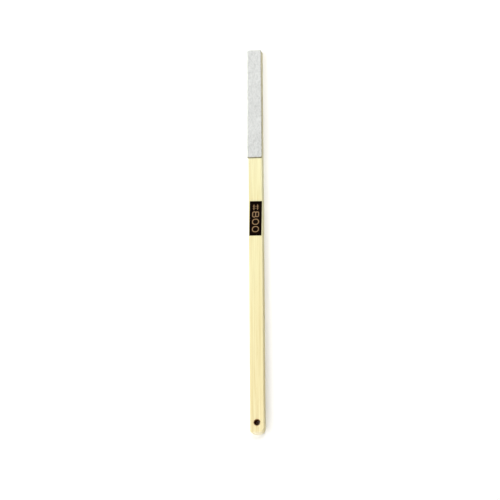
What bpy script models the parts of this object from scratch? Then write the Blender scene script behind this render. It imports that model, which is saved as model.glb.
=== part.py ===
"""A sanding stick: a pale wooden lath with a fine abrasive pad stuck on one face at the working
end, a black label stuck further down the same face, and a rounded tail with a hanging hole.

It lies flat on its plain face. Length runs along Y, with the pad at +Y and the tail at -Y. Width
runs along X and thickness along Z. The origin is on the underside, at the middle of the lath.
"""

import math

import bmesh
import bpy
from mathutils import Matrix, Vector

MM = 0.001

# The lath
STICK_LENGTH = 300 * MM
STICK_WIDTH = 10.5 * MM
STICK_THICKNESS = 6 * MM
STICK_END_SKEW = 0.6 * MM  # the working end is sawn this much out of square
STICK_EASING = 0.35 * MM  # every long edge and rim is broken by this much
TAIL_END_RADIUS = 9.6 * MM  # the shallow arc across the tail
TAIL_CORNER_LEFT = 2.0 * MM  # its corners are sanded round by hand, one more than the other
TAIL_CORNER_RIGHT = 4.6 * MM

# The hanging hole, drilled through the tail
HOLE_DIAMETER = 4.5 * MM
HOLE_TO_TAIL = 8.3 * MM  # from the hole's axis to the tip of the rounded tail
HOLE_RIM_BREAK = 0.2 * MM  # how far the worn rim flares out

# The abrasive pad. It is cut by hand, a shade wider than the lath and widest at its foot
PAD_LENGTH = 87.6 * MM
PAD_OVERHANG_LEFT_TIP = 0.12 * MM
PAD_OVERHANG_LEFT_FOOT = 0.6 * MM
PAD_OVERHANG_RIGHT = 0.1 * MM
PAD_FOOT_SKEW = 0.6 * MM  # the foot is cut this much out of square
ABRASIVE_THICKNESS = 0.25 * MM
ABRASIVE_EASING = 0.08 * MM
BACKING_THICKNESS = 0.3 * MM
ADHESIVE_THICKNESS = 0.15 * MM
ADHESIVE_SQUEEZE_FOOT = 0.35 * MM  # how far the glue stands out past the pad's foot
ADHESIVE_SQUEEZE_SIDE = 0.08 * MM  # and past its left edge

# The label, cut from printed tape and stuck on slightly askew
LABEL_WIDTH = 9.4 * MM
LABEL_LENGTH = 27 * MM
LABEL_CENTRE = Vector((0.2 * MM, 14.3 * MM))
LABEL_TURN = math.radians(-1.45)
LABEL_END_SKEW = 0.35 * MM  # its ends are cut this much out of square
LABEL_FILM_THICKNESS = 0.12 * MM
LABEL_GLUE_THICKNESS = 0.05 * MM
LABEL_GLUE_INSET = 0.15 * MM

# Stacked layers keep this much air between them, so that no two solids touch
LAYER_GAP = 0.02 * MM

TAIL_ARC_SEGMENTS = 13
HOLE_SEGMENTS = 48

HALF_LENGTH = STICK_LENGTH / 2
HALF_WIDTH = STICK_WIDTH / 2
PAD_FOOT_Y = HALF_LENGTH - PAD_LENGTH


def clear_scene():
    """Removes every object, so that the part is all there is."""
    for thing in list(bpy.data.objects):
        bpy.data.objects.remove(thing, do_unlink=True)


def make_material(name, colour, roughness, metallic=0.0):
    """A plain Principled material of one colour."""
    material = bpy.data.materials.new(name)
    material.use_nodes = True
    shader = material.node_tree.nodes["Principled BSDF"]
    shader.inputs["Base Color"].default_value = (*colour, 1.0)
    shader.inputs["Roughness"].default_value = roughness
    shader.inputs["Metallic"].default_value = metallic
    return material


def extrude_outline(name, outline, bottom, thickness, material):
    """A solid that stands on a flat outline, given counter-clockwise as seen from above."""
    shape = bmesh.new()
    corners = [shape.verts.new((x, y, bottom)) for x, y in outline]
    base = shape.faces.new(corners)
    raised = bmesh.ops.extrude_face_region(shape, geom=[base])
    top = [item for item in raised["geom"] if isinstance(item, bmesh.types.BMVert)]
    bmesh.ops.translate(shape, verts=top, vec=(0, 0, thickness))
    bmesh.ops.recalc_face_normals(shape, faces=shape.faces)
    mesh = bpy.data.meshes.new(name)
    shape.to_mesh(mesh)
    shape.free()
    solid = bpy.data.objects.new(name, mesh)
    mesh.materials.append(material)
    bpy.context.collection.objects.link(solid)
    return solid


def ease_edges(solid, width, segments=2):
    """Rounds the sharp edges of a solid a little."""
    bevel = solid.modifiers.new("eased_edges", "BEVEL")
    bevel.width = width
    bevel.segments = segments
    bevel.limit_method = "ANGLE"
    bevel.angle_limit = math.radians(50)


def tail_arcs():
    """The tail's three arcs from left to right, each as (centre, radius, first and last angle)."""
    end_centre = Vector((0, -HALF_LENGTH + TAIL_END_RADIUS))
    corners = []
    for side, radius in ((-1, TAIL_CORNER_LEFT), (1, TAIL_CORNER_RIGHT)):
        across = side * (HALF_WIDTH - radius)
        down = math.sqrt((TAIL_END_RADIUS - radius) ** 2 - across**2)
        corners.append((end_centre + Vector((across, -down)), math.atan2(-down, across) % (2 * math.pi)))
    (left, left_turn), (right, right_turn) = corners
    return (
        (left, TAIL_CORNER_LEFT, math.pi, left_turn),
        (end_centre, TAIL_END_RADIUS, left_turn, right_turn),
        (right, TAIL_CORNER_RIGHT, right_turn, 2 * math.pi),
    )


def stick_outline():
    """The lath seen from above: square at the working end, rounded at the tail."""
    outline = [(HALF_WIDTH, HALF_LENGTH - STICK_END_SKEW), (-HALF_WIDTH, HALF_LENGTH)]
    for number, (centre, radius, first, last) in enumerate(tail_arcs()):
        for step in range(0 if number == 0 else 1, TAIL_ARC_SEGMENTS + 1):
            angle = first + (last - first) * step / TAIL_ARC_SEGMENTS
            outline.append((centre.x + radius * math.cos(angle), centre.y + radius * math.sin(angle)))
    return outline


def hole_cutter():
    """The drill's path, flared at both faces where the rim is worn, turned about the hole's axis."""
    radius = HOLE_DIAMETER / 2
    past = 1 * MM  # the cutter runs this far past each face
    flared = radius + HOLE_RIM_BREAK + past
    profile = [
        (0, -past),
        (flared, -past),
        (radius, HOLE_RIM_BREAK),
        (radius, STICK_THICKNESS - HOLE_RIM_BREAK),
        (flared, STICK_THICKNESS + past),
        (0, STICK_THICKNESS + past),
    ]
    shape = bmesh.new()
    points = [shape.verts.new((x, 0, z)) for x, z in profile]
    edges = [shape.edges.new(pair) for pair in zip(points, points[1:])]
    bmesh.ops.spin(
        shape,
        geom=points + edges,
        cent=(0, 0, 0),
        axis=(0, 0, 1),
        angle=2 * math.pi,
        steps=HOLE_SEGMENTS,
        use_merge=True,
    )
    bmesh.ops.remove_doubles(shape, verts=shape.verts, dist=0.001 * MM)
    bmesh.ops.recalc_face_normals(shape, faces=shape.faces)
    mesh = bpy.data.meshes.new("hole_cutter")
    shape.to_mesh(mesh)
    shape.free()
    cutter = bpy.data.objects.new("hole_cutter", mesh)
    bpy.context.collection.objects.link(cutter)
    cutter.location = (0, -HALF_LENGTH + HOLE_TO_TAIL, 0)
    cutter.hide_render = True
    cutter.display_type = "WIRE"
    return cutter


def make_stick():
    """The lath, its edges eased, with the hanging hole drilled through its tail."""
    wood = make_material("pale_wood", (0.87, 0.78, 0.50), 0.6)
    stick = extrude_outline("handle_stick", stick_outline(), 0, STICK_THICKNESS, wood)
    ease_edges(stick, STICK_EASING)
    drilling = stick.modifiers.new("hanging_hole", "BOOLEAN")
    drilling.operation = "DIFFERENCE"
    drilling.solver = "EXACT"
    drilling.object = hole_cutter()


def pad_outline(squeeze_foot=0.0, squeeze_side=0.0):
    """The pad seen from above, made larger at its foot and its left edge by what squeezes out."""
    left_tip = -HALF_WIDTH - PAD_OVERHANG_LEFT_TIP - squeeze_side
    left_foot = -HALF_WIDTH - PAD_OVERHANG_LEFT_FOOT - squeeze_side
    right = HALF_WIDTH + PAD_OVERHANG_RIGHT
    foot = PAD_FOOT_Y - squeeze_foot
    return [
        (left_tip, HALF_LENGTH),
        (left_foot, foot + PAD_FOOT_SKEW / 2),
        (right, foot - PAD_FOOT_SKEW / 2),
        (right, HALF_LENGTH - STICK_END_SKEW),
    ]


def make_pad():
    """The pad's three layers: the glue, the backing and the abrasive on top."""
    glue = make_material("dark_glue", (0.05, 0.045, 0.035), 0.5)
    board = make_material("dark_backing", (0.10, 0.095, 0.085), 0.7)
    grit = make_material("pale_grey_grit", (0.62, 0.64, 0.63), 0.85)
    level = STICK_THICKNESS + LAYER_GAP
    spread = pad_outline(ADHESIVE_SQUEEZE_FOOT, ADHESIVE_SQUEEZE_SIDE)
    extrude_outline("pad_adhesive", spread, level, ADHESIVE_THICKNESS, glue)
    level += ADHESIVE_THICKNESS + LAYER_GAP
    extrude_outline("pad_backing", pad_outline(), level, BACKING_THICKNESS, board)
    level += BACKING_THICKNESS + LAYER_GAP
    abrasive = extrude_outline("abrasive_sheet", pad_outline(), level, ABRASIVE_THICKNESS, grit)
    ease_edges(abrasive, ABRASIVE_EASING)


def label_outline(inset=0.0):
    """The label seen from above, turned slightly on the lath."""
    half_width = LABEL_WIDTH / 2 - inset
    half_length = LABEL_LENGTH / 2 - inset
    skew = LABEL_END_SKEW / 2
    corners = [
        (-half_width, skew - half_length),
        (half_width, -skew - half_length),
        (half_width, half_length - skew),
        (-half_width, half_length + skew),
    ]
    turn = Matrix.Rotation(LABEL_TURN, 2)
    return [turn @ Vector(corner) + LABEL_CENTRE for corner in corners]


def make_label():
    """The label's two layers: its glue and the black film."""
    glue = make_material("clear_glue", (0.30, 0.27, 0.20), 0.4)
    film = make_material("black_film", (0.012, 0.011, 0.010), 0.35)
    level = STICK_THICKNESS + LAYER_GAP
    extrude_outline("label_adhesive", label_outline(LABEL_GLUE_INSET), level, LABEL_GLUE_THICKNESS, glue)
    level += LABEL_GLUE_THICKNESS + LAYER_GAP
    extrude_outline("label_film", label_outline(), level, LABEL_FILM_THICKNESS, film)


clear_scene()
make_stick()
make_pad()
make_label()
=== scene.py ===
"""The looks of a wooden sanding stick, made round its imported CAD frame.

The lath, the pad's layers, the label and its printed number are each a mesh of their own. Every
place and size comes from the CAD nodes' boxes. Lengths are metres, with the stick lying along Y.
"""

import math

import bmesh
import bpy
from mathutils import Matrix, Vector, noise


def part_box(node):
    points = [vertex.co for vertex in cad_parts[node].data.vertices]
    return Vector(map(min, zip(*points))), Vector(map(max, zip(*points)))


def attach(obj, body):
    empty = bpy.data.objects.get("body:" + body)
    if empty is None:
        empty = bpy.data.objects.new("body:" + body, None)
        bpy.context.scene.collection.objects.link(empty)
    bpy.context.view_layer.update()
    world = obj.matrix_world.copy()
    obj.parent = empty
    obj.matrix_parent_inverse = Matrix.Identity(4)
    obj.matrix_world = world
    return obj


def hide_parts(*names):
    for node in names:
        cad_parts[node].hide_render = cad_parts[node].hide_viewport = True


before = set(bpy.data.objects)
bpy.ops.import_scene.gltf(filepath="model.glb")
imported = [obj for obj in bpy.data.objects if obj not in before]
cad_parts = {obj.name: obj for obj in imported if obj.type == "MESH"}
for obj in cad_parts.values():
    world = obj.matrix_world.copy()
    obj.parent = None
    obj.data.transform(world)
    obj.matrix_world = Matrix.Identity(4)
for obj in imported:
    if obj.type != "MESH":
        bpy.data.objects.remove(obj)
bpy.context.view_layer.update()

MM = 0.001
PER_MM = 1000.0

# The lath
LATH_EASING = 0.35 * MM  # how far its edges are rounded off
LATH_EASING_SPREAD = 0.12 * MM  # and how much that varies along an edge
LATH_CORNER = 0.55 * MM  # the upright corners of the working end
LATH_END_SKEW = 0.6 * MM  # the working end is sawn this much out of square
LATH_STEP = 1.0 * MM  # one ring of points for each step along it
LATH_COLUMNS = 26
LATH_WAVE = 0.025 * MM  # how far its faces wander from flat
EASING_STEPS = 3
WALL_STEPS = 7

# The tail: a shallow arc between two corners that are rounded by hand, one more than the other
TAIL_END_RADIUS = 9.6 * MM
TAIL_CORNERS = {-1: 2.0 * MM, 1: 4.6 * MM}
TAIL_CORNER_STEPS = 14
TAIL_END_STEPS = 14

# The hanging hole
HOLE_RADIUS = 2.25 * MM
HOLE_TO_TAIL = 8.3 * MM
HOLE_SEGMENTS = 72

# The pad and the label, whose outlines follow the CAD nodes' corners
GRIT_CELL = 0.3 * MM
GRIT_RELIEF = 0.03 * MM
CHIP_DEPTH = 0.24 * MM
FOOT_WEAR = 0.36 * MM  # how far the coat has crumbled back from the pad's foot
EDGE_CELLS = 4  # how many cells in from a layer's rim its points follow the rim

# The printed number
DIGIT_HEIGHT = 5.3 * MM
DIGIT_WIDTH = 4.7 * MM
SIGN_WIDTH = 4.3 * MM
DIGIT_GAP = 1.1 * MM
STROKE = 0.66 * MM
FOIL_THICKNESS = 0.02 * MM
FOIL_LIFT = 0.002 * MM  # the foil stands this far off the film
EIGHT_TOP_SHARE = 0.94  # how wide the upper half of an eight is beside the lower one
WAIST = 0.10 * MM

# The camera, placed by where it looks and from which side
VIEW_AZIMUTH = math.radians(38.46)
VIEW_ELEVATION = math.radians(68.49)
VIEW_ROLL = math.radians(-40.86)
VIEW_DISTANCE = 1.6
VIEW_LENS = 154.08
VIEW_AIM = Vector((-4.32 * MM, -10.12 * MM, 6 * MM))

SENSOR_WIDTH = 36.0
CLIP_START, CLIP_END = 0.05, 20.0

# The surroundings: along each axis of view, from and to where the level changes, and its ends
ROOM_LEVEL = 0.9
ROOM_SHARES = (
    ("Z", 0.70, 0.86, ROOM_LEVEL, 0.03 * ROOM_LEVEL),
    ("X", -1.0, 1.0, 1.35, 0.45),
    ("Y", -1.0, 1.0, 1.30, 0.80),
)

# The lamps: name, place, the spot it faces, the length of its sides, power
LAMP_COLOUR = (1.0, 0.99, 0.97)
LAMPS = (
    ("window", (-0.58, -0.08, 0.72), (0, 0.0, 0), 0.9, 4.0),
    ("front", (-0.15, -0.75, 0.40), (0, -0.15, 0), 0.5, 2.0),
    ("lamp", (0.09, 0.29, 0.59), (0.03, 0.24, 0), 0.25, 2.6),
)
FLOOR_REACH = 4.0

stick_low, stick_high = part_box("handle_stick")
pad_low, pad_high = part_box("abrasive_sheet")
board_low, board_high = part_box("pad_backing")
glue_low, glue_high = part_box("pad_adhesive")
film_low, film_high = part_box("label_film")


# ---------------------------------------------------------------- mesh helpers


def wander(x, y, z, scale, seed=0.0):
    """Smooth noise from -1 to 1 whose bumps are about scale across."""
    return noise.noise(Vector((x / scale + seed, y / scale - 2 * seed, z / scale + 3 * seed)))


def mesh_object(name, points, faces, material):
    """An object from points and faces, its doubled points merged and its faces pointing out."""
    mesh = bpy.data.meshes.new(name)
    mesh.from_pydata([tuple(p) for p in points], [], faces)
    shape = bmesh.new()
    shape.from_mesh(mesh)
    bmesh.ops.remove_doubles(shape, verts=shape.verts, dist=0.001 * MM)
    bmesh.ops.recalc_face_normals(shape, faces=shape.faces)
    shape.to_mesh(mesh)
    shape.free()
    mesh.materials.append(material)
    thing = bpy.data.objects.new(name, mesh)
    bpy.context.collection.objects.link(thing)
    return thing


def grid_faces(rows, columns, start=0):
    """The quads of a grid of points that is stored row by row."""
    faces = []
    for r in range(rows - 1):
        for c in range(columns - 1):
            a = start + r * columns + c
            faces.append((a, a + 1, a + 1 + columns, a + columns))
    return faces


def smooth(thing, angle=35):
    """Smooth shading that keeps edges sharper than the angle crisp."""
    thing.data.shade_smooth()
    thing.data.set_sharp_from_angle(angle=math.radians(angle))


def bake_modifiers(thing):
    """Replaces an object's mesh with what its modifiers make of it."""
    graph = bpy.context.evaluated_depsgraph_get()
    made = bpy.data.meshes.new_from_object(thing.evaluated_get(graph))
    thing.modifiers.clear()
    thing.data = made


# ---------------------------------------------------------------- material helpers


class Recipe:
    """Builds one procedural material, node by node."""

    def __init__(self, name):
        self.material = bpy.data.materials.new(name)
        self.material.use_nodes = True
        self.tree = self.material.node_tree
        self.shader = self.tree.nodes["Principled BSDF"]
        self.place = self.node("ShaderNodeTexCoord").outputs["Object"]

    def node(self, kind, **settings):
        made = self.tree.nodes.new(kind)
        for key, value in settings.items():
            setattr(made, key, value)
        return made

    def link(self, source, target):
        self.tree.links.new(source, target)

    def stretched(self, scale, offset=(0, 0, 0), turn=(0, 0, 0)):
        """The place on the object, scaled along each axis."""
        mapping = self.node("ShaderNodeMapping")
        mapping.inputs["Scale"].default_value = scale
        mapping.inputs["Location"].default_value = offset
        mapping.inputs["Rotation"].default_value = turn
        self.link(self.place, mapping.inputs["Vector"])
        return mapping.outputs["Vector"]

    def per_mm(self, x, y, z, offset=(0, 0, 0), turn=(0, 0, 0)):
        """The place on the object, with so many waves to the millimetre along each axis."""
        return self.stretched((x * PER_MM, y * PER_MM, z * PER_MM), offset, turn)

    def noise(self, vector, detail=4.0, roughness=0.55, distortion=0.0):
        made = self.node("ShaderNodeTexNoise")
        made.inputs["Scale"].default_value = 1.0
        made.inputs["Detail"].default_value = detail
        made.inputs["Roughness"].default_value = roughness
        made.inputs["Distortion"].default_value = distortion
        self.link(vector, made.inputs["Vector"])
        return made.outputs["Fac"]

    def cells(self, vector):
        made = self.node("ShaderNodeTexVoronoi")
        made.inputs["Scale"].default_value = 1.0
        self.link(vector, made.inputs["Vector"])
        return made.outputs["Distance"]

    def spread(self, value, low, high, to_low=0.0, to_high=1.0):
        """Maps a value from one range to another, clamped at both ends."""
        made = self.node("ShaderNodeMapRange", clamp=True)
        for key, number in (
            ("From Min", low),
            ("From Max", high),
            ("To Min", to_low),
            ("To Max", to_high),
        ):
            made.inputs[key].default_value = number
        self.link(value, made.inputs["Value"])
        return made.outputs["Result"]

    def maths(self, operation, a, b):
        made = self.node("ShaderNodeMath", operation=operation)
        for socket, value in zip(made.inputs, (a, b)):
            if isinstance(value, (int, float)):
                socket.default_value = value
            else:
                self.link(value, socket)
        return made.outputs["Value"]

    def ramp(self, value, *stops):
        """Colours along a value: each stop is (position, (r, g, b))."""
        made = self.node("ShaderNodeValToRGB")
        elements = made.color_ramp.elements
        while len(elements) < len(stops):
            elements.new(1.0)
        for element, (position, colour) in zip(elements, stops):
            element.position = position
            element.color = (*colour, 1.0)
        self.link(value, made.inputs["Fac"])
        return made.outputs["Color"]

    def mix(self, factor, a, b, blend="MIX"):
        """Two colours mixed by a factor. Each may be a socket or a plain colour."""
        made = self.node("ShaderNodeMix", data_type="RGBA", blend_type=blend)
        made.clamp_factor = True
        sockets = {s.identifier: s for s in made.inputs}
        for key, value in (("Factor_Float", factor), ("A_Color", a), ("B_Color", b)):
            socket = sockets[key]
            if isinstance(value, (int, float)):
                socket.default_value = value
            elif isinstance(value, tuple):
                socket.default_value = (*value, 1.0)
            else:
                self.link(value, socket)
        return next(s for s in made.outputs if s.identifier == "Result_Color")

    def bump(self, height, strength, distance, under=None):
        made = self.node("ShaderNodeBump")
        made.inputs["Strength"].default_value = strength
        made.inputs["Distance"].default_value = distance
        self.link(height, made.inputs["Height"])
        if under is not None:
            self.link(under, made.inputs["Normal"])
        return made.outputs["Normal"]

    def finish(self, colour, roughness, normal, specular=0.5):
        self.link(colour, self.shader.inputs["Base Color"])
        if isinstance(roughness, float):
            self.shader.inputs["Roughness"].default_value = roughness
        else:
            self.link(roughness, self.shader.inputs["Roughness"])
        self.link(normal, self.shader.inputs["Normal"])
        self.shader.inputs["Specular IOR Level"].default_value = specular
        return self.material


def dust_and_shade_under_pad(r, along, colour):
    """Grey dust from the work clings to the sides beneath the pad, mixed with painted shade where the pad's
    overhang shades them.
    """
    uneven = r.spread(r.noise(r.per_mm(0.5, 0.5, 0.5), detail=3), 0.3, 0.7, -2.0 * MM, 2.0 * MM)
    reached = r.maths("ADD", along.outputs["Y"], uneven)
    beside_pad = r.spread(reached, board_low.y - 1.5 * MM, board_low.y + 5.0 * MM)
    off_faces = r.spread(along.outputs["Z"], 0.2 * stick_high.z, 0.8 * stick_high.z, 0.25, 1.0)
    dust_and_shade_patches = r.spread(r.noise(r.per_mm(0.8, 0.25, 1.6), detail=4), 0.3, 0.6, 0.25, 0.62)
    # painted shade mixed with grey dust: the side walls beneath the pad are greyed and darkened, most near
    # their tops, under the pad's overhang
    dust = r.maths("MULTIPLY", r.maths("MULTIPLY", beside_pad, off_faces), dust_and_shade_patches)
    return r.mix(dust, colour, (0.45, 0.44, 0.39))


def burnt_hole(r, colour):
    """The hole's wall is burnt dark brown by the drill, and the burn fades out at its rim."""
    from_middle = r.node("ShaderNodeVectorMath", operation="SUBTRACT")
    from_middle.inputs[1].default_value = (0, stick_low.y + HOLE_TO_TAIL, 0)
    r.link(r.place, from_middle.inputs[0])
    flatten = r.node("ShaderNodeVectorMath", operation="MULTIPLY")
    flatten.inputs[1].default_value = (1, 1, 0)
    r.link(from_middle.outputs[0], flatten.inputs[0])
    reach = r.node("ShaderNodeVectorMath", operation="LENGTH")
    r.link(flatten.outputs[0], reach.inputs[0])
    ragged = r.spread(r.noise(r.per_mm(1.6, 1.6, 1.6), detail=3), 0.3, 0.7, -0.12 * MM, 0.12 * MM)
    edge = r.maths("ADD", reach.outputs["Value"], ragged)
    halo = r.spread(edge, HOLE_RADIUS + 0.2 * MM, HOLE_RADIUS + 1.0 * MM, 0.40, 0.0)
    burn = r.spread(edge, HOLE_RADIUS + 0.05 * MM, HOLE_RADIUS + 0.28 * MM, 1.0, 0.0)
    return r.mix(burn, r.mix(halo, colour, (0.48, 0.29, 0.11)), (0.150, 0.052, 0.007))


def wood_material():
    """Bare pale wood: long fine fibres, broader growth streaks, open pores and a burnt hole."""
    r = Recipe("pale_bare_wood")
    # broad growth streaks, running nearly along the lath
    streak_place = r.per_mm(0.9, 0.012, 0.35, turn=(0, 0, 0.004))
    streaks = r.noise(streak_place, detail=5, roughness=0.62, distortion=0.35)
    # thin brown growth lines, in places
    line_place = r.per_mm(2.6, 0.010, 2.6, offset=(3.1, 0.4, 0), turn=(0, 0, 0.003))
    lines = r.spread(r.noise(line_place, detail=3, roughness=0.5), 0.52, 0.70)
    # fine fibres
    fibre_place = r.per_mm(4.5, 0.05, 4.5)
    fibres = r.noise(fibre_place, detail=6, roughness=0.7, distortion=0.15)
    # short open pores: thin dashes a few millimetres long
    pore_place = r.per_mm(7.0, 0.22, 7.0)
    pores = r.cells(pore_place)
    pore_mask = r.spread(pores, 0.10, 0.24, 1.0, 0.0)
    pore_patch = r.spread(r.noise(r.per_mm(1.5, 0.03, 1.5), detail=2), 0.45, 0.62)
    pore_mask = r.maths("MULTIPLY", pore_mask, pore_patch)
    # slow change of tone along the length
    tone = r.noise(r.per_mm(0.08, 0.010, 0.08), detail=2)

    base = r.ramp(
        streaks,
        (0.28, (0.600, 0.465, 0.230)),
        (0.40, (0.725, 0.635, 0.350)),
        (0.52, (0.800, 0.735, 0.445)),
        (0.72, (0.840, 0.795, 0.515)),
    )
    fibre_shade = r.ramp(fibres, (0.30, (0.90, 0.88, 0.82)), (0.62, (1.0, 1.0, 1.0)))
    colour = r.mix(0.55, base, fibre_shade, "MULTIPLY")
    colour = r.mix(r.spread(tone, 0.35, 0.7, 0.0, 0.35), colour, (0.77, 0.66, 0.37), "MIX")
    colour = r.mix(r.maths("MULTIPLY", lines, 0.30), colour, (0.60, 0.43, 0.18))
    colour = r.mix(r.maths("MULTIPLY", pore_mask, 0.45), colour, (0.50, 0.35, 0.16))

    # painted light and shade along the length: the wood is tinted from tail to pad, paler at the tail's tip,
    # a shade warmer along the tail and cooler towards the pad, standing in for how the light falls along the
    # stick
    along = r.node("ShaderNodeSeparateXYZ")
    r.link(r.place, along.inputs[0])
    painted_light_along_length = r.ramp(
        r.spread(along.outputs["Y"], stick_low.y, pad_low.y),
        (0.00, (0.960, 0.950, 0.970)),
        (0.15, (0.925, 0.910, 0.885)),
        (0.85, (0.870, 0.903, 0.905)),
        (1.00, (0.882, 0.940, 1.000)),
    )
    colour = r.mix(1.0, colour, painted_light_along_length, "MULTIPLY")
    # painted light: the tail's end, its end wall and the last millimetres of its faces, is made a little
    # paler, as where the light from the front falls on it
    painted_end_light = r.spread(along.outputs["Y"], stick_low.y + 0.4 * MM, stick_low.y + 1.8 * MM, 0.45, 0.0)
    colour = r.mix(painted_end_light, colour, (0.72, 0.70, 0.60))
    colour = burnt_hole(r, dust_and_shade_under_pad(r, along, colour))

    roughness = r.spread(fibres, 0.3, 0.7, 0.66, 0.50)
    height = r.maths("SUBTRACT", fibres, r.maths("MULTIPLY", pore_mask, 0.8))
    normal = r.bump(height, 0.35, 0.06 * MM)
    normal = r.bump(streaks, 0.25, 0.08 * MM, normal)
    return r.finish(colour, roughness, normal, 0.12)


def grit_material():
    """A pale grey coat of very fine grit: softly mottled, speckled with dark and bright grains."""
    r = Recipe("pale_grey_grit_coat")
    cloud = r.noise(r.per_mm(0.20, 0.10, 0.20), detail=2, roughness=0.5)
    mottle = r.noise(r.per_mm(0.95, 0.50, 0.95), detail=4, roughness=0.65)
    grain = r.cells(r.per_mm(4.6, 4.6, 4.6))
    speck = r.cells(r.per_mm(2.3, 2.3, 2.3, offset=(0.4, 0.7, 0.2)))
    dust = r.noise(r.per_mm(9.0, 9.0, 9.0), detail=3, roughness=0.75)
    colour = r.ramp(
        mottle,
        (0.34, (0.425, 0.437, 0.432)),
        (0.50, (0.520, 0.532, 0.525)),
        (0.66, (0.580, 0.592, 0.583)),
    )
    cloud_shade = r.ramp(cloud, (0.35, (0.94, 0.94, 0.94)), (0.65, (1.0, 1.0, 1.0)))
    colour = r.mix(1.0, colour, cloud_shade, "MULTIPLY")
    colour = r.mix(r.spread(dust, 0.36, 0.48, 0.40, 0.0), colour, (0.27, 0.275, 0.28))
    colour = r.mix(r.spread(speck, 0.06, 0.16, 0.75, 0.0), colour, (0.17, 0.17, 0.175))
    colour = r.mix(r.spread(dust, 0.58, 0.68, 0.0, 0.65), colour, (0.80, 0.82, 0.82))
    height = r.maths("ADD", r.maths("MULTIPLY", grain, 0.8), dust)
    normal = r.bump(height, 0.75, 0.06 * MM)
    return r.finish(colour, r.spread(dust, 0.3, 0.7, 0.92, 0.68), normal, 0.3)


def board_material():
    """The pad's dark backing: thin fibrous layers seen at its cut edge."""
    r = Recipe("dark_backing_board")
    layers = r.noise(r.per_mm(0.9, 0.9, 22.0), detail=3, roughness=0.6)
    fuzz = r.noise(r.per_mm(5.0, 5.0, 5.0), detail=5, roughness=0.7)
    colour = r.ramp(layers, (0.3, (0.150, 0.140, 0.075)), (0.7, (0.280, 0.262, 0.155)))
    colour = r.mix(r.spread(fuzz, 0.55, 0.75, 0.0, 0.5), colour, (0.16, 0.15, 0.13))
    normal = r.bump(r.maths("ADD", layers, fuzz), 0.5, 0.05 * MM)
    return r.finish(colour, r.spread(fuzz, 0.3, 0.7, 0.75, 0.95), normal, 0.3)


def pad_glue_material():
    """Dark contact glue: dull where it has picked up dust, glossier where it stands out."""
    r = Recipe("dark_contact_glue")
    body = r.noise(r.per_mm(1.1, 1.1, 1.1), detail=4)
    dust = r.noise(r.per_mm(6.0, 6.0, 6.0), detail=4, roughness=0.7)
    colour = r.ramp(body, (0.3, (0.085, 0.072, 0.034)), (0.7, (0.185, 0.160, 0.080)))
    colour = r.mix(r.spread(dust, 0.56, 0.74, 0.0, 0.45), colour, (0.33, 0.29, 0.20))
    normal = r.bump(body, 0.5, 0.08 * MM)
    return r.finish(colour, r.spread(dust, 0.35, 0.7, 0.34, 0.8), normal, 0.5)


def label_glue_material():
    """The label's clear glue, yellowed and dusty at its edge."""
    r = Recipe("label_glue_film")
    dust = r.noise(r.per_mm(4.0, 4.0, 4.0), detail=4)
    colour = r.ramp(dust, (0.35, (0.30, 0.24, 0.13)), (0.7, (0.46, 0.40, 0.26)))
    normal = r.bump(dust, 0.3, 0.02 * MM)
    return r.finish(colour, r.spread(dust, 0.3, 0.7, 0.3, 0.55), normal)


def film_material():
    """The black label film: satin, finely pebbled, with faint scuffs and dust."""
    r = Recipe("black_label_film")
    pebble = r.noise(r.per_mm(5.0, 5.0, 5.0), detail=3, roughness=0.6)
    scuff = r.noise(r.per_mm(1.6, 0.14, 1.0, turn=(0, 0, 0.5)), detail=5, roughness=0.7)
    dust = r.cells(r.per_mm(1.3, 1.3, 1.3))
    colour = r.ramp(pebble, (0.3, (0.0022, 0.0007, 0.0003)), (0.7, (0.0045, 0.0016, 0.0008)))
    colour = r.mix(r.spread(scuff, 0.60, 0.78, 0.0, 0.15), colour, (0.026, 0.015, 0.009))
    colour = r.mix(r.spread(dust, 0.02, 0.06, 0.2, 0.0), colour, (0.12, 0.09, 0.06))
    normal = r.bump(pebble, 0.12, 0.03 * MM)
    return r.finish(colour, r.spread(scuff, 0.35, 0.75, 0.30, 0.50), normal, 0.01)


def foil_material():
    """Dull copper foil print, thin enough in places for the black to show through."""
    r = Recipe("dull_copper_foil")
    wear = r.noise(r.per_mm(2.6, 2.6, 2.6), detail=5, roughness=0.7)
    fleck = r.noise(r.per_mm(9.0, 9.0, 9.0), detail=3, roughness=0.7)
    colour = r.ramp(wear, (0.34, (0.150, 0.085, 0.035)), (0.66, (0.265, 0.160, 0.070)))
    colour = r.mix(r.spread(fleck, 0.64, 0.72, 0.0, 0.8), colour, (0.05, 0.03, 0.02))
    r.shader.inputs["Metallic"].default_value = 0.35
    normal = r.bump(fleck, 0.2, 0.02 * MM)
    return r.finish(colour, r.spread(wear, 0.3, 0.7, 0.42, 0.6), normal)


# ---------------------------------------------------------------- the lath


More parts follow.
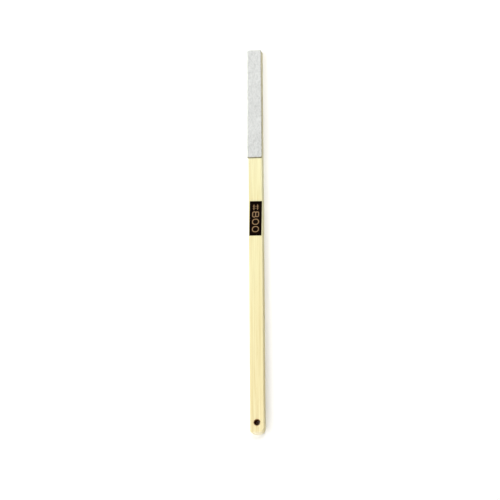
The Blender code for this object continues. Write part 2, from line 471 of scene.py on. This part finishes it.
def lath_stations(side):
    """Points down one side in plan, from the tail's tip to the end: (x, y, way out x, y)."""
    half = (stick_high.x - stick_low.x) / 2
    corner = TAIL_CORNERS[side]
    across = half - corner
    reach = TAIL_END_RADIUS - corner
    turn = math.asin(across / reach)
    end_y = stick_low.y + TAIL_END_RADIUS
    corner_y = end_y - math.sqrt(reach**2 - across**2)
    arcs = (
        (0.0, end_y, TAIL_END_RADIUS, 0.0, turn, TAIL_END_STEPS),
        (across, corner_y, corner, turn, math.pi / 2, TAIL_CORNER_STEPS),
    )
    stations = [(0.0, stick_low.y, 0.0, -1.0)]
    for centre_x, centre_y, radius, first, last, steps in arcs:
        for step in range(1, steps + 1):
            angle = first + (last - first) * step / steps
            out_x, out_y = math.sin(angle), -math.cos(angle)
            stations.append((centre_x + radius * out_x, centre_y + radius * out_y, out_x, out_y))
    end = stick_high.y - LATH_CORNER
    steps = round((end - stick_low.y - TAIL_END_RADIUS) / LATH_STEP)
    if side > 0:
        end -= LATH_END_SKEW
    for step in range(1, steps + 1):
        stations.append((half, corner_y + (end - corner_y) * step / steps, 1.0, 0.0))
    for step in range(1, EASING_STEPS + 2):
        angle = math.pi / 2 * step / (EASING_STEPS + 1)
        out_x, out_y = math.cos(angle), math.sin(angle)
        x = half - LATH_CORNER + LATH_CORNER * out_x
        stations.append((x, end + LATH_CORNER * out_y, out_x, out_y))
    return [(side * x, y, side * out_x, out_y) for x, y, out_x, out_y in stations]


def lath_profile(easing_top, easing_under):
    """Down the wall from the upper face to the lower one: (how far in from the side, height)."""
    top, under = stick_high.z, stick_low.z
    profile = []
    for step in range(EASING_STEPS + 1):
        angle = math.pi / 2 * step / EASING_STEPS
        profile.append((easing_top * (1 - math.sin(angle)), top - easing_top * (1 - math.cos(angle))))
    wall_top, wall_under = top - easing_top, under + easing_under
    for step in range(1, WALL_STEPS):
        profile.append((0.0, wall_top + (wall_under - wall_top) * step / WALL_STEPS))
    for step in range(EASING_STEPS, -1, -1):
        angle = math.pi / 2 * step / EASING_STEPS
        profile.append((easing_under * (1 - math.sin(angle)), under + easing_under * (1 - math.cos(angle))))
    return profile


def lath_easing(x, y, seed):
    """How far an edge is rounded off there: hand sanding wears it unevenly."""
    uneven = wander(x, y, 0, 9 * MM, seed) + 0.5 * wander(x, y, 0, 2.5 * MM, seed + 5.3)
    return LATH_EASING + LATH_EASING_SPREAD * max(-1.0, min(1.0, uneven))


def make_lath(material):
    """The lath as patches of points: both sides, both faces and the square end, merged at their rims."""
    points, faces = [], []
    firsts = {}
    for side in (-1, 1):
        firsts[side] = len(points)
        stations = lath_stations(side)
        for x, y, out_x, out_y in stations:
            profile = lath_profile(lath_easing(x, y, 3.1), lath_easing(x, y, 7.7))
            for inset, z in profile:
                points.append((x - out_x * inset, y - out_y * inset, z))
        rows = len(profile)
        faces += grid_faces(len(stations), rows, firsts[side])

    def across(pairs):
        """A patch of points between pairs of rim points, each given as (station, level)."""
        start = len(points)
        for station, level in pairs:
            left, right = (points[firsts[side] + station * rows + level] for side in (-1, 1))
            for column in range(LATH_COLUMNS + 1):
                share = column / LATH_COLUMNS
                points.append(tuple(a + (b - a) * share for a, b in zip(left, right)))
        return grid_faces(len(pairs), LATH_COLUMNS + 1, start)

    last = len(stations) - 1
    for level in (0, rows - 1):
        faces += across([(station, level) for station in range(last + 1)])
    faces += across([(last, level) for level in range(rows)])
    lath = mesh_object("lath", points, faces, material)
    ripple(lath)
    drill(lath)
    smooth(lath)
    return lath


def ripple(thing):
    """Moves each point inwards a little, more in some places, so that no face is dead flat."""
    shape = bmesh.new()
    shape.from_mesh(thing.data)
    for vertex in shape.verts:
        x, y, z = vertex.co
        depth = 0.6 * wander(x, y * 0.12, z, 2.2 * MM, 1.7) + 0.4 * wander(x, y * 0.3, z, 0.8 * MM, 5.3)
        vertex.co -= vertex.normal * LATH_WAVE * (0.5 + 0.5 * depth)
    shape.to_mesh(thing.data)
    shape.free()


def drill(thing):
    """Cuts the hanging hole, its rims a little crumbled."""
    depth = stick_high.z - stick_low.z
    past, rim = 1 * MM, 0.22 * MM
    wide = HOLE_RADIUS + rim + past
    profile = [
        (wide, -past),
        (HOLE_RADIUS, rim),
        (HOLE_RADIUS, depth / 2),
        (HOLE_RADIUS, depth - rim),
        (wide, depth + past),
    ]
    points, faces = [], []
    for step in range(HOLE_SEGMENTS):
        angle = 2 * math.pi * step / HOLE_SEGMENTS
        for radius, z in profile:
            rough = 1 + 0.012 * wander(math.cos(angle), math.sin(angle), z / (2 * MM), 0.35, 2.0)
            points.append((radius * rough * math.cos(angle), radius * rough * math.sin(angle), z))
    rows = len(profile)
    for step in range(HOLE_SEGMENTS):
        here, there = step * rows, (step + 1) % HOLE_SEGMENTS * rows
        for level in range(rows - 1):
            faces.append((here + level, there + level, there + level + 1, here + level + 1))
    faces.append(tuple(step * rows for step in range(HOLE_SEGMENTS)))
    faces.append(tuple(step * rows + rows - 1 for step in range(HOLE_SEGMENTS)))
    cutter = mesh_object("drill_path", points, faces, thing.data.materials[0])
    cutter.location = (0, stick_low.y + HOLE_TO_TAIL, stick_low.z)
    cut = thing.modifiers.new("hole", "BOOLEAN")
    cut.operation, cut.solver, cut.object = "DIFFERENCE", "EXACT", cutter
    bpy.context.view_layer.update()
    bake_modifiers(thing)
    bpy.data.objects.remove(cutter)


# ---------------------------------------------------------------- flat layers


def slab(name, corners, low, high, cell, rim, material, edge=None, relief=None):
    """A thin layer on four corners in plan, given left foot, right foot, right tip, left tip.

    rim is how far its upper edge is rounded. edge(x, y) says how far its outline stands out at a
    place, and relief(x, y) how far its upper face rises there.
    """
    left_foot, right_foot, right_tip, left_tip = (Vector(c) for c in corners)
    columns = max(2, round((right_foot - left_foot).length / cell))
    rows = max(2, round((left_tip - left_foot).length / cell))

    def place(c, r):
        foot = left_foot.lerp(right_foot, c / columns)
        return foot.lerp(left_tip.lerp(right_tip, c / columns), r / rows)

    def way_out(c, r):
        away = Vector(((c == columns) - (c == 0), (r == rows) - (r == 0)))
        return away.normalized() if away.length else away

    def outline(c, r, inset):
        """How far a rim point moves: out by what edge says, and in by the inset."""
        spot = place(c, r)
        stand_out = edge(spot.x, spot.y) if edge else 0.0
        return way_out(c, r) * (stand_out - inset)

    def inner(c, r, inset):
        """A point inside the rim, drawn along with each stretch of rim that it lies close to."""
        spot = place(c, r)
        beside = ((c, (0, r)), (columns - c, (columns, r)), (r, (c, 0)), (rows - r, (c, rows)))
        for cells, rim_point in beside:
            if cells < EDGE_CELLS:
                spot += outline(*rim_point, inset) * (1 - cells / EDGE_CELLS)
        return spot

    loop = [(c, 0) for c in range(columns)]
    loop += [(columns, r) for r in range(rows)]
    loop += [(c, rows) for c in range(columns, 0, -1)]
    loop += [(0, r) for r in range(rows, 0, -1)]
    rings = [(rim, high), (0.3 * rim, high - 0.3 * rim), (0.0, high - rim), (0.0, low)]
    points, faces = [], []
    for inset, z in rings:
        for c, r in loop:
            spot = place(c, r) + outline(c, r, inset)
            points.append((spot.x, spot.y, z))
    count = len(loop)
    for ring in range(len(rings) - 1):
        for i in range(count):
            a, b = ring * count + i, ring * count + (i + 1) % count
            faces.append((a, b, b + count, a + count))
    for ring, z, inset in ((0, high, rim), (len(rings) - 1, low, 0.0)):
        index = {key: ring * count + i for i, key in enumerate(loop)}
        for r in range(1, rows):
            for c in range(1, columns):
                spot = inner(c, r, inset)
                lift = relief(spot.x, spot.y) if relief and z == high else 0.0
                index[c, r] = len(points)
                points.append((spot.x, spot.y, z + lift))
        for r in range(rows):
            for c in range(columns):
                faces.append((index[c, r], index[c + 1, r], index[c + 1, r + 1], index[c, r + 1]))
    layer = mesh_object(name, points, faces, material)
    smooth(layer)
    return layer


def plan_corners(node):
    """The four corners of a CAD node's outline: left foot, right foot, right tip, left tip."""
    spots = [v.co.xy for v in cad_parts[node].data.vertices]
    return [
        max(spots, key=lambda p, x=x, y=y: x * p.x + y * p.y).copy()
        for x, y in ((-1, -1), (1, -1), (1, 1), (-1, 1))
    ]


def cut_edge(x, y):
    """How the pad's edge wavers where it was cut by hand, always a little inside its outline."""
    return 0.05 * MM * (wander(x, y, 0, 1.6 * MM, 4.4) - 1) + 0.03 * MM * wander(x, y, 0, 0.5 * MM, 6.1)


def chipped_edge(x, y):
    """The coat's own edge: as cut, but with chips that bare the dark backing beneath."""
    chip = wander(x, y, 0, 0.9 * MM, 2.9) + 0.6 * wander(x, y, 0, 0.4 * MM, 8.8)
    at_foot = min(1.0, max(0.0, (pad_low.y + 1.5 * MM - y) / (0.5 * MM)))
    return cut_edge(x, y) - CHIP_DEPTH * min(1.0, max(0.0, (chip - 0.1) / 0.4)) - FOOT_WEAR * at_foot


def grit_relief(x, y):
    """The coat's fine pebbling, worn a little lower towards the pad's edges."""
    pebble = wander(x, y, 0, 0.45 * MM, 2.2) + 0.7 * wander(x, y, 0, 0.9 * MM, 7.9)
    return GRIT_RELIEF * (0.6 * pebble - 0.6)


def make_pad():
    """The pad's three layers: the glue with its squeezed-out bead, the backing and the grit."""
    grit = slab(
        "grit_coat", plan_corners("abrasive_sheet"), pad_low.z, pad_high.z, GRIT_CELL, 0.10 * MM,
        grit_material(), chipped_edge, grit_relief,
    )
    board = slab(
        "backing_board", plan_corners("pad_backing"), board_low.z, board_high.z, 0.5 * MM, 0.03 * MM,
        board_material(), lambda x, y: cut_edge(x, y) + 0.03 * MM * wander(x, y, 1, 0.7 * MM, 1.2),
    )
    glue = slab(
        "squeezed_glue", plan_corners("pad_adhesive"), glue_low.z, glue_high.z, 0.35 * MM, 0.06 * MM,
        pad_glue_material(), glue_bead,
    )
    for piece, node in ((grit, "abrasive_sheet"), (board, "pad_backing"), (glue, "pad_adhesive")):
        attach(piece, "root")
        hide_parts(node)


def glue_bead(x, y):
    """The glue's outline: blobs and gaps along the foot and the lower left edge."""
    blobs = 0.10 * MM * wander(x, y, 0, 1.3 * MM, 9.5) + 0.05 * MM * wander(x, y, 0, 0.5 * MM, 3.3)
    return min(0.0, blobs - 0.06 * MM)


# ---------------------------------------------------------------- the label


def label_relief(x, y):
    """The film lies on the wood's fibres and shows them faintly."""
    return 0.012 * MM * (wander(x, y * 0.06, 0, 0.7 * MM, 5.0) - 1)


def make_label():
    """The label film on its glue."""
    film = slab(
        "label_tape", plan_corners("label_film"), film_low.z, film_high.z, 0.4 * MM, 0.04 * MM,
        film_material(), None, label_relief,
    )
    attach(film, "root")
    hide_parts("label_film")
    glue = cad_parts["label_adhesive"]
    glue.data.materials.clear()
    glue.data.materials.append(label_glue_material())


def rounded_loop(width, height, radius, centre_y=0.0, steps=8):
    """A rectangle with round corners, as a closed loop of points."""
    loop = []
    for quarter, (x, y) in enumerate(((1, 1), (-1, 1), (-1, -1), (1, -1))):
        corner = (x * (width / 2 - radius), y * (height / 2 - radius))
        for step in range(steps + 1):
            angle = math.pi / 2 * (quarter + step / steps)
            x_out, y_out = radius * math.cos(angle), radius * math.sin(angle)
            loop.append((corner[0] + x_out, centre_y + corner[1] + y_out))
    return loop


def zero_loops():
    """A nought as an outer and an inner loop."""
    outer = rounded_loop(DIGIT_WIDTH, DIGIT_HEIGHT, 0.46 * DIGIT_WIDTH)
    inner_width, inner_height = DIGIT_WIDTH - 2 * STROKE, DIGIT_HEIGHT - 2 * STROKE
    return [outer, rounded_loop(inner_width, inner_height, 0.46 * inner_width)]


def eight_loops():
    """An eight: one outline nipped in at its waist, with two openings."""
    width, half = DIGIT_WIDTH, (DIGIT_HEIGHT + STROKE) / 2
    middle = DIGIT_HEIGHT / 2 - half / 2
    top_width = EIGHT_TOP_SHARE * width
    top = rounded_loop(top_width, half, 0.42 * half, centre_y=middle)
    under = rounded_loop(width, half, 0.42 * half, centre_y=-middle)
    outer = [p for p in top if p[1] > WAIST] + [p for p in under if p[1] < -WAIST]
    outer.sort(key=lambda p: math.atan2(p[1], p[0]))
    inner_height = half - 2 * STROKE
    openings = [
        rounded_loop(top_width - 2 * STROKE, inner_height, 0.45 * inner_height, centre_y=middle),
        rounded_loop(width - 2 * STROKE, inner_height, 0.45 * inner_height, centre_y=-middle),
    ]
    return [outer, *openings]


def make_sign(name, material):
    """A number sign: two strong bars crossed by two thin uprights, as one closed plate."""
    reach_x, reach_y = SIGN_WIDTH / 2, DIGIT_HEIGHT * 0.46
    bar_x, bar_y = SIGN_WIDTH * 0.18, DIGIT_HEIGHT * 0.27
    thick, thin = STROKE * 0.45, STROKE * 0.16
    xs = (-reach_x, -bar_x - thin, thin - bar_x, bar_x - thin, bar_x + thin, reach_x)
    ys = (-reach_y, -bar_y - thick, thick - bar_y, bar_y - thick, bar_y + thick, reach_y)
    cells = [(i, j) for i in range(5) for j in range(5) if i in (1, 3) or j in (1, 3)]
    places = sorted({(i + a, j + b) for i, j in cells for a in (0, 1) for b in (0, 1)})
    count = len(places)
    levels = (-FOIL_THICKNESS / 2, FOIL_THICKNESS / 2)
    points = [(xs[i], ys[j], z) for z in levels for i, j in places]
    faces, edges = [], []
    for i, j in cells:
        ring = [places.index(place) for place in ((i, j), (i + 1, j), (i + 1, j + 1), (i, j + 1))]
        faces += [ring[::-1], [count + corner for corner in ring]]
        edges += zip(ring, ring[1:] + ring[:1])
    rim = [(a, b) for a, b in edges if (b, a) not in edges]
    faces += [(a, b, count + b, count + a) for a, b in rim]
    return mesh_object(name, points, faces, material)


def make_glyph(name, loops, material):
    """A flat curve shape with its openings, as thin raised foil."""
    curve = bpy.data.curves.new(name, "CURVE")
    curve.dimensions = "2D"
    curve.fill_mode = "BOTH"
    curve.extrude = FOIL_THICKNESS / 2
    for loop in loops:
        spline = curve.splines.new("POLY")
        spline.points.add(len(loop) - 1)
        for point, (x, y) in zip(spline.points, loop):
            point.co = (x, y, 0, 1)
        spline.use_cyclic_u = True
    drawn = bpy.data.objects.new(name, curve)
    bpy.context.collection.objects.link(drawn)
    bpy.context.view_layer.update()
    filled = bpy.data.meshes.new_from_object(drawn)
    bpy.data.objects.remove(drawn)
    points = [vertex.co.copy() for vertex in filled.vertices]
    return mesh_object(name, points, [tuple(face.vertices) for face in filled.polygons], material)


def make_number():
    """A plain grade number down the label, read with the stick's working end to the left."""
    foil = foil_material()
    left_foot, right_foot, right_tip, left_tip = plan_corners("label_film")
    near, far = (left_tip + right_tip) / 2, (left_foot + right_foot) / 2
    down = (far - near).normalized()
    facing = Matrix.Rotation(math.atan2(down.y, down.x), 4, "Z")
    glyphs = (
        (make_sign("number_sign", foil), SIGN_WIDTH),
        (make_glyph("number_eight", eight_loops(), foil), DIGIT_WIDTH),
        (make_glyph("number_nought_a", zero_loops(), foil), DIGIT_WIDTH),
        (make_glyph("number_nought_b", zero_loops(), foil), DIGIT_WIDTH),
    )
    total = sum(width for _, width in glyphs) + DIGIT_GAP * (len(glyphs) - 1)
    along = ((far - near).length - total) / 2
    for glyph, width in glyphs:
        spot = near + down * (along + width / 2)
        lift = Vector((spot.x, spot.y, film_high.z + FOIL_THICKNESS * 0.5 + FOIL_LIFT))
        glyph.data.transform(Matrix.Translation(lift) @ facing)
        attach(glyph, "root")
        along += width + DIGIT_GAP


# ---------------------------------------------------------------- the studio


def make_floor():
    """A wide white floor, which the light keeps nearly at full white."""
    r = Recipe("white_floor")
    faint = r.noise(r.stretched((3.0, 3.0, 3.0)), detail=2)
    colour = r.ramp(faint, (0.3, (0.900, 0.899, 0.896)), (0.7, (0.915, 0.914, 0.911)))
    normal = r.bump(faint, 0.01, 0.1 * MM)
    material = r.finish(colour, 0.9, normal, 0.1)
    corners = [(x * FLOOR_REACH, y * FLOOR_REACH, 0) for x, y in ((-1, -1), (1, -1), (1, 1), (-1, 1))]
    floor = mesh_object("floor", corners, [(0, 1, 2, 3)], material)
    floor.location.z = stick_low.z - 0.02 * MM


def make_lamp(name, place, aim, side, power):
    """A soft square light that faces a point."""
    lamp = bpy.data.lights.new(name, "AREA")
    lamp.shape = "RECTANGLE"
    lamp.size = lamp.size_y = side
    lamp.energy = power
    lamp.color = LAMP_COLOUR
    thing = bpy.data.objects.new(name, lamp)
    thing.location = place
    thing.rotation_euler = (Vector(aim) - Vector(place)).to_track_quat("-Z", "Y").to_euler()
    bpy.context.collection.objects.link(thing)


def make_room():
    """White surroundings: brighter on the left, and shaded right overhead, where a person leans in."""
    world = bpy.data.worlds.new("studio")
    world.use_nodes = True
    tree = world.node_tree
    background = tree.nodes["Background"]
    background.inputs["Color"].default_value = (1.0, 0.995, 0.985, 1)
    direction = tree.nodes.new("ShaderNodeTexCoord").outputs["Generated"]
    split = tree.nodes.new("ShaderNodeSeparateXYZ")
    tree.links.new(direction, split.inputs["Vector"])
    shares = []
    for axis, low, high, at_low, at_high in ROOM_SHARES:
        share = tree.nodes.new("ShaderNodeMapRange")
        share.interpolation_type = "SMOOTHSTEP"
        ends = {"From Min": low, "From Max": high, "To Min": at_low, "To Max": at_high}
        for key, number in ends.items():
            share.inputs[key].default_value = number
        tree.links.new(split.outputs[axis], share.inputs["Value"])
        shares.append(share.outputs["Result"])
    level = shares[0]
    for share in shares[1:]:
        product = tree.nodes.new("ShaderNodeMath")
        product.operation = "MULTIPLY"
        tree.links.new(level, product.inputs[0])
        tree.links.new(share, product.inputs[1])
        level = product.outputs["Value"]
    tree.links.new(level, background.inputs["Strength"])
    bpy.context.scene.world = world


def make_studio():
    make_floor()
    make_room()
    for lamp in LAMPS:
        make_lamp(*lamp)
    bpy.context.scene.view_settings.view_transform = "Standard"


def make_camera():
    """The camera, off to the right of the tail and looking steeply down, turned to stand the stick up."""
    data = bpy.data.cameras.new("camera")
    data.lens = VIEW_LENS
    data.sensor_width = SENSOR_WIDTH
    data.clip_start, data.clip_end = CLIP_START, CLIP_END
    camera = bpy.data.objects.new("camera", data)
    level = math.cos(VIEW_ELEVATION)
    back = Vector((level * math.sin(VIEW_AZIMUTH), -level * math.cos(VIEW_AZIMUTH), math.sin(VIEW_ELEVATION)))
    camera.location = VIEW_AIM + back * VIEW_DISTANCE
    turn = (-back).to_track_quat("-Z", "Y").to_matrix().to_4x4() @ Matrix.Rotation(VIEW_ROLL, 4, "Z")
    camera.rotation_euler = turn.to_euler()
    bpy.context.collection.objects.link(camera)
    bpy.context.scene.camera = camera


lath = make_lath(wood_material())
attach(lath, "root")
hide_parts("handle_stick")
make_pad()
make_label()
make_number()
make_studio()
make_camera()
